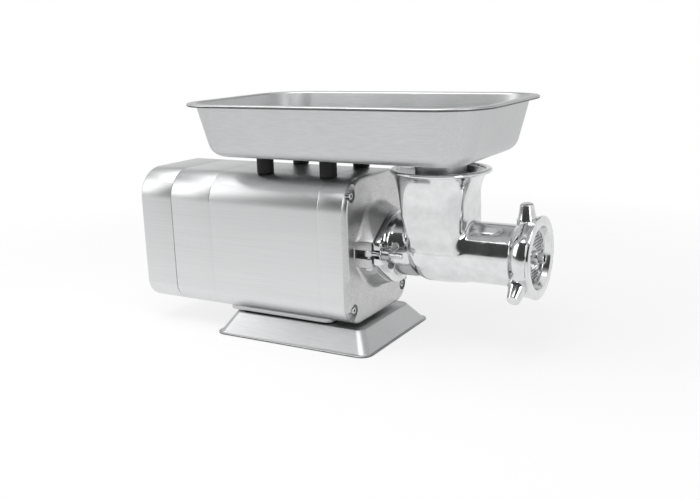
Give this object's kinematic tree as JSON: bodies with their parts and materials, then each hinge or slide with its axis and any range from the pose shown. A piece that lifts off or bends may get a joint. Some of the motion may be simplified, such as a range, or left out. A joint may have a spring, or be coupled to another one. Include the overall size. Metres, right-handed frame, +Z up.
{
  "type": "electric meat grinder",
  "caption": "Electric meat grinder: boxed stainless drive housing on a pressed base, bolted-on screw head with ring nut and hole plate, and a lift-off feed tray.",
  "frame": {"origin": "middle of the overall bounding box, at table level under the base", "axes": "+X along the screw axis towards the hole plate, +Y to the side that carries the controls, +Z up"},
  "size_m": [0.5508, 0.26, 0.309],
  "materials": {
    "stainless_brushed": "brushed along the housing",
    "stainless_satin": "satin pressed sheet",
    "cast_aluminium": "ground and swirled",
    "polished_casting": "polished",
    "bright_steel": "turned",
    "hardened_steel": "ground",
    "zinc_steel": "zinc plated",
    "grey_iron": "as cast",
    "bronze": "turned",
    "copper": "varnished wire",
    "black_rubber": "matt",
    "black_plastic": "fine grain",
    "grey_panel": "satin",
    "green_plastic": "gloss",
    "red_plastic": "gloss",
    "pale_plastic": "satin",
    "tinned_brass": "bright"
  },
  "bodies": {
    "machine": {"base_pan": "stainless_satin", "base_gasket": "black_rubber", "base_bolts": "zinc_steel", "base_nuts": "zinc_steel", "bottom_plate": "stainless_satin", "casing_wrap": "stainless_brushed", "rear_cover": "stainless_brushed", "rear_cover_posts": "zinc_steel", "rear_cover_screws": "bright_steel", "front_plate": "cast_aluminium", "front_plate_screws": "bright_steel", "tray_feet": "black_rubber", "tray_foot_screws": "zinc_steel", "gearbox_housing": "grey_iron", "gearbox_web": "grey_iron", "gearbox_bolts": "zinc_steel", "countershaft_bearings": "hardened_steel", "spindle_bearings": "hardened_steel", "spindle_seal": "black_rubber", "motor_front_bell": "cast_aluminium", "motor_rear_bell": "cast_aluminium", "motor_shell": "zinc_steel", "stator_core": "grey_iron", "stator_windings": "copper", "motor_bolts": "zinc_steel", "motor_bearings": "hardened_steel", "run_capacitor": "pale_plastic", "control_plate": "grey_panel", "switch_block": "black_plastic", "reset_collar": "black_plastic", "mains_inlet": "black_plastic", "inlet_pins": "tinned_brass", "inlet_screws": "bright_steel", "pivot_pins": "bright_steel", "head_casting": "polished_casting", "auger_bush": "bronze", "plate_key": "hardened_steel"},
    "rotor": {"rotor_core": "grey_iron", "motor_shaft": "hardened_steel", "cooling_fan": "black_plastic"},
    "countershaft": {"countershaft": "hardened_steel", "countershaft_gear": "hardened_steel"},
    "screw": {"output_spindle": "hardened_steel", "output_gear": "hardened_steel", "auger": "polished_casting", "knife": "hardened_steel"},
    "plate": {"hole_plate": "bright_steel"},
    "ring": {"ring_nut": "polished_casting"},
    "feed_tray": {"tray": "stainless_satin", "tray_spout": "stainless_satin"},
    "bolt_left": {"swing_bolt_left": "bright_steel"},
    "bolt_right": {"swing_bolt_right": "bright_steel"},
    "washer_left": {"washer_left": "bright_steel"},
    "washer_right": {"washer_right": "bright_steel"},
    "nut_left": {"wing_nut_left": "polished_casting"},
    "nut_right": {"wing_nut_right": "polished_casting"},
    "start": {"start_button": "green_plastic"},
    "stop": {"stop_button": "red_plastic"},
    "reset": {"reset_button": "pale_plastic"}
  },
  "joints": [
    {"name": "motor_spin", "type": "hinge", "parent": "machine", "child": "rotor", "pos_m": [-0.1046, 0, 0.126], "axis": [1, 0, 0], "continuous": true},
    {"name": "countershaft_spin", "type": "hinge", "parent": "machine", "child": "countershaft", "pos_m": [0.0154, 0, 0.081], "axis": [1, 0, 0], "continuous": true},
    {"name": "screw_spin", "type": "hinge", "parent": "machine", "child": "screw", "pos_m": [0.1554, 0, 0.126], "axis": [1, 0, 0], "continuous": true},
    {"name": "plate_slide", "type": "slide", "parent": "machine", "child": "plate", "axis": [1, 0, 0], "range_m": [0, 0.0121]},
    {"name": "ring_turn", "type": "hinge", "parent": "plate", "child": "ring", "pos_m": [0.2554, 0, 0.126], "axis": [1, 0, 0], "range_deg": [0, 1440]},
    {"name": "tray_lift", "type": "slide", "parent": "machine", "child": "feed_tray", "axis": [0, 0, 1], "range_m": [0, 0.12]},
    {"name": "swing_left", "type": "hinge", "parent": "machine", "child": "bolt_left", "pos_m": [0.0734, -0.0585, 0.126], "axis": [0, 0, -1], "range_deg": [0, 100]},
    {"name": "washer_slide_left", "type": "slide", "parent": "bolt_left", "child": "washer_left", "axis": [1, 0, 0], "range_m": [0, 0.0051]},
    {"name": "wing_turn_left", "type": "hinge", "parent": "washer_left", "child": "nut_left", "pos_m": [0.0974, -0.0585, 0.126], "axis": [1, 0, 0], "range_deg": [0, 1440]},
    {"name": "swing_right", "type": "hinge", "parent": "machine", "child": "bolt_right", "pos_m": [0.0734, 0.0585, 0.126], "axis": [0, 0, 1], "range_deg": [0, 100]},
    {"name": "washer_slide_right", "type": "slide", "parent": "bolt_right", "child": "washer_right", "axis": [1, 0, 0], "range_m": [0, 0.0051]},
    {"name": "wing_turn_right", "type": "hinge", "parent": "washer_right", "child": "nut_right", "pos_m": [0.0974, 0.0585, 0.126], "axis": [1, 0, 0], "range_deg": [0, 1440]},
    {"name": "start_press", "type": "slide", "parent": "machine", "child": "start", "axis": [0, -1, 0], "range_m": [0, 0.003], "stiffness_N_per_m": 500, "springref_m": -0.004},
    {"name": "stop_press", "type": "slide", "parent": "machine", "child": "stop", "axis": [0, -1, 0], "range_m": [0, 0.003], "stiffness_N_per_m": 500, "springref_m": -0.004},
    {"name": "reset_press", "type": "slide", "parent": "machine", "child": "reset", "axis": [0, -1, 0], "range_m": [0, 0.0025], "stiffness_N_per_m": 600, "springref_m": -0.004}
  ],
  "couplings": [
    {"joint": "countershaft_spin", "follows": "motor_spin", "ratio": -0.33333},
    {"joint": "screw_spin", "follows": "motor_spin", "ratio": 0.13178},
    {"joint": "plate_slide", "follows": "ring_turn", "m_per_rad": 0.00047746},
    {"joint": "washer_slide_left", "follows": "wing_turn_left", "m_per_rad": 0.00019894},
    {"joint": "washer_slide_right", "follows": "wing_turn_right", "m_per_rad": 0.00019894}
  ]
}
